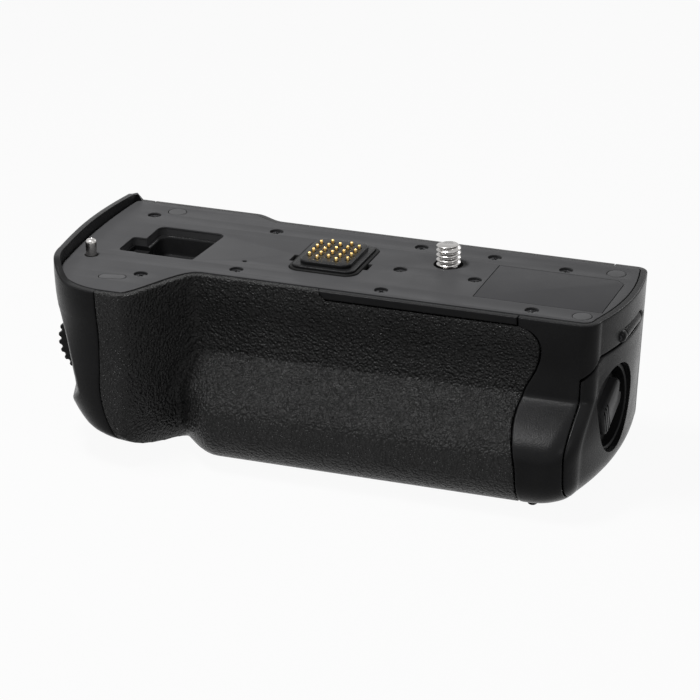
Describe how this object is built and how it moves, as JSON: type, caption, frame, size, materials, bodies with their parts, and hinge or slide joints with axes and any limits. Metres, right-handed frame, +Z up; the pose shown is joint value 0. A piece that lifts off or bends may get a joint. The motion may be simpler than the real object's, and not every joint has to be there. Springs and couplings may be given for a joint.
{
  "type": "camera battery grip",
  "caption": "Battery grip that screws under a camera, with a contact block, a hinged battery door and a second set of shooting controls for upright frames.",
  "frame": {"origin": "on the camera screw's axis, in the face of the mounting plate that meets the camera", "axes": "+X to the right seen from the front, +Y to the rear, +Z up out of the mounting plate"},
  "size_m": [0.1482, 0.0689, 0.0533],
  "materials": {
    "plate_metal": "satin black",
    "casing": "matt black",
    "button_plastic": "black",
    "grip_rubber": "pebbled black",
    "pad": "grey",
    "bright_steel": "bright",
    "black_screw": "blackened",
    "gold": "gold plated",
    "board": "green",
    "battery": "dark grey"
  },
  "bodies": {
    "grip": {"top_plate": "plate_metal", "front_shell": "casing", "grip_rubber": "grip_rubber", "front_rim_strip": "casing", "right_end_shell": "casing", "left_end_shell": "casing", "rear_shell": "casing", "thumb_rubber": "grip_rubber", "base_cover": "casing", "base_screws": "black_screw", "base_feet": "grip_rubber", "tripod_socket": "bright_steel", "plate_screws": "black_screw", "plate_pads": "pad", "blank_plate": "plate_metal", "locating_pin": "bright_steel", "cap_pocket": "casing", "connector_housing": "casing", "connector_gasket": "grip_rubber", "connector_board": "board", "main_board": "board", "board_posts": "bright_steel", "mount_bracket": "bright_steel", "mount_bush": "gold", "battery_chamber": "casing", "terminal_block": "casing", "terminal_blades": "gold", "door_hinge_pin": "bright_steel", "strike_plate": "bright_steel", "shutter_collar": "bright_steel", "shutter_board": "board", "front_dial_axle": "bright_steel", "front_dial_bracket": "bright_steel", "left_button_board": "board", "rear_dial_axle": "bright_steel", "rear_dial_bracket": "bright_steel", "joystick_collar": "casing", "rear_button_board": "board"},
    "mount_wheel": {"mount_screw": "bright_steel", "thumb_wheel": "black_screw", "mount_clip": "bright_steel"},
    "door": {"battery_door": "casing", "lock_cup": "casing"},
    "lock_key": {"lock_knob": "casing", "lock_crank": "bright_steel"},
    "bolt": {"door_bolt": "bright_steel"},
    "battery": {"battery_pack": "battery"},
    "contacts": {"contact_pins": "gold"},
    "shutter": {"shutter_button": "button_plastic"},
    "front_dial": {"front_dial": "casing"},
    "rear_dial": {"rear_dial": "casing"},
    "balance_button": {"balance_button": "button_plastic"},
    "sensitivity_button": {"sensitivity_button": "button_plastic"},
    "exposure_button": {"exposure_button": "button_plastic"},
    "focus_button": {"focus_button": "button_plastic"},
    "display_button": {"display_button": "button_plastic"},
    "stick_gimbal": {"joystick_gimbal": "bright_steel"},
    "stick": {"joystick_cap": "grip_rubber"},
    "lock_slider": {"lock_slider": "casing"}
  },
  "joints": [
    {"name": "mount_wheel_turn", "type": "hinge", "parent": "grip", "child": "mount_wheel", "pos_m": [0, 0, 0], "axis": [0, 0, 1], "continuous": true},
    {"name": "door_swing", "type": "hinge", "parent": "grip", "child": "door", "pos_m": [0.0494, 0, -0.0082], "axis": [0, -1, 0], "range_deg": [0, 95]},
    {"name": "lock_key_turn", "type": "hinge", "parent": "door", "child": "lock_key", "pos_m": [0.0446, -0.014, -0.027], "axis": [-1, 0, 0], "range_deg": [0, 90]},
    {"name": "bolt_slide", "type": "slide", "parent": "door", "child": "bolt", "axis": [0, 1, 0], "range_m": [0, 0.0026]},
    {"name": "battery_slide", "type": "slide", "parent": "grip", "child": "battery", "axis": [1, 0, 0], "range_m": [0, 0.008]},
    {"name": "contact_press", "type": "slide", "parent": "grip", "child": "contacts", "axis": [0, 0, -1], "range_m": [0, 0.0008], "stiffness_N_per_m": 2000},
    {"name": "shutter_press", "type": "slide", "parent": "grip", "child": "shutter", "axis": [1, 0, 0], "range_m": [0, 0.0012], "stiffness_N_per_m": 1200},
    {"name": "front_dial_turn", "type": "hinge", "parent": "grip", "child": "front_dial", "pos_m": [-0.08524, -0.031, -0.0208], "axis": [0, 1, 0], "continuous": true},
    {"name": "rear_dial_turn", "type": "hinge", "parent": "grip", "child": "rear_dial", "pos_m": [-0.084, 0.01206, -0.02], "axis": [1, 0, 0], "continuous": true},
    {"name": "balance_press", "type": "slide", "parent": "grip", "child": "balance_button", "axis": [1, 0, 0], "range_m": [0, 0.0006], "stiffness_N_per_m": 2500},
    {"name": "sensitivity_press", "type": "slide", "parent": "grip", "child": "sensitivity_button", "axis": [1, 0, 0], "range_m": [0, 0.0006], "stiffness_N_per_m": 2500},
    {"name": "exposure_press", "type": "slide", "parent": "grip", "child": "exposure_button", "axis": [1, 0, 0], "range_m": [0, 0.0006], "stiffness_N_per_m": 2500},
    {"name": "focus_press", "type": "slide", "parent": "grip", "child": "focus_button", "axis": [0, -1, 0], "range_m": [0, 0.0006], "stiffness_N_per_m": 2500},
    {"name": "display_press", "type": "slide", "parent": "grip", "child": "display_button", "axis": [0, -1, 0], "range_m": [0, 0.0006], "stiffness_N_per_m": 2500},
    {"name": "stick_up_down", "type": "hinge", "parent": "grip", "child": "stick_gimbal", "pos_m": [-0.07, 0.01287, -0.031], "axis": [1, 0, 0], "range_deg": [-6, 6], "stiffness_Nm_per_rad": 0.02},
    {"name": "stick_left_right", "type": "hinge", "parent": "stick_gimbal", "child": "stick", "pos_m": [-0.07, 0.01287, -0.031], "axis": [0, 0, 1], "range_deg": [-6, 6], "stiffness_Nm_per_rad": 0.02},
    {"name": "lock_slide", "type": "slide", "parent": "grip", "child": "lock_slider", "axis": [0, 1, 0], "range_m": [0, 0.0035]}
  ],
  "couplings": [
    {"joint": "lock_key_turn", "follows": "bolt_slide", "rad_per_m": 604.15},
    {"joint": "battery_slide", "follows": "door_swing", "m_per_rad": 0.0048249}
  ]
}
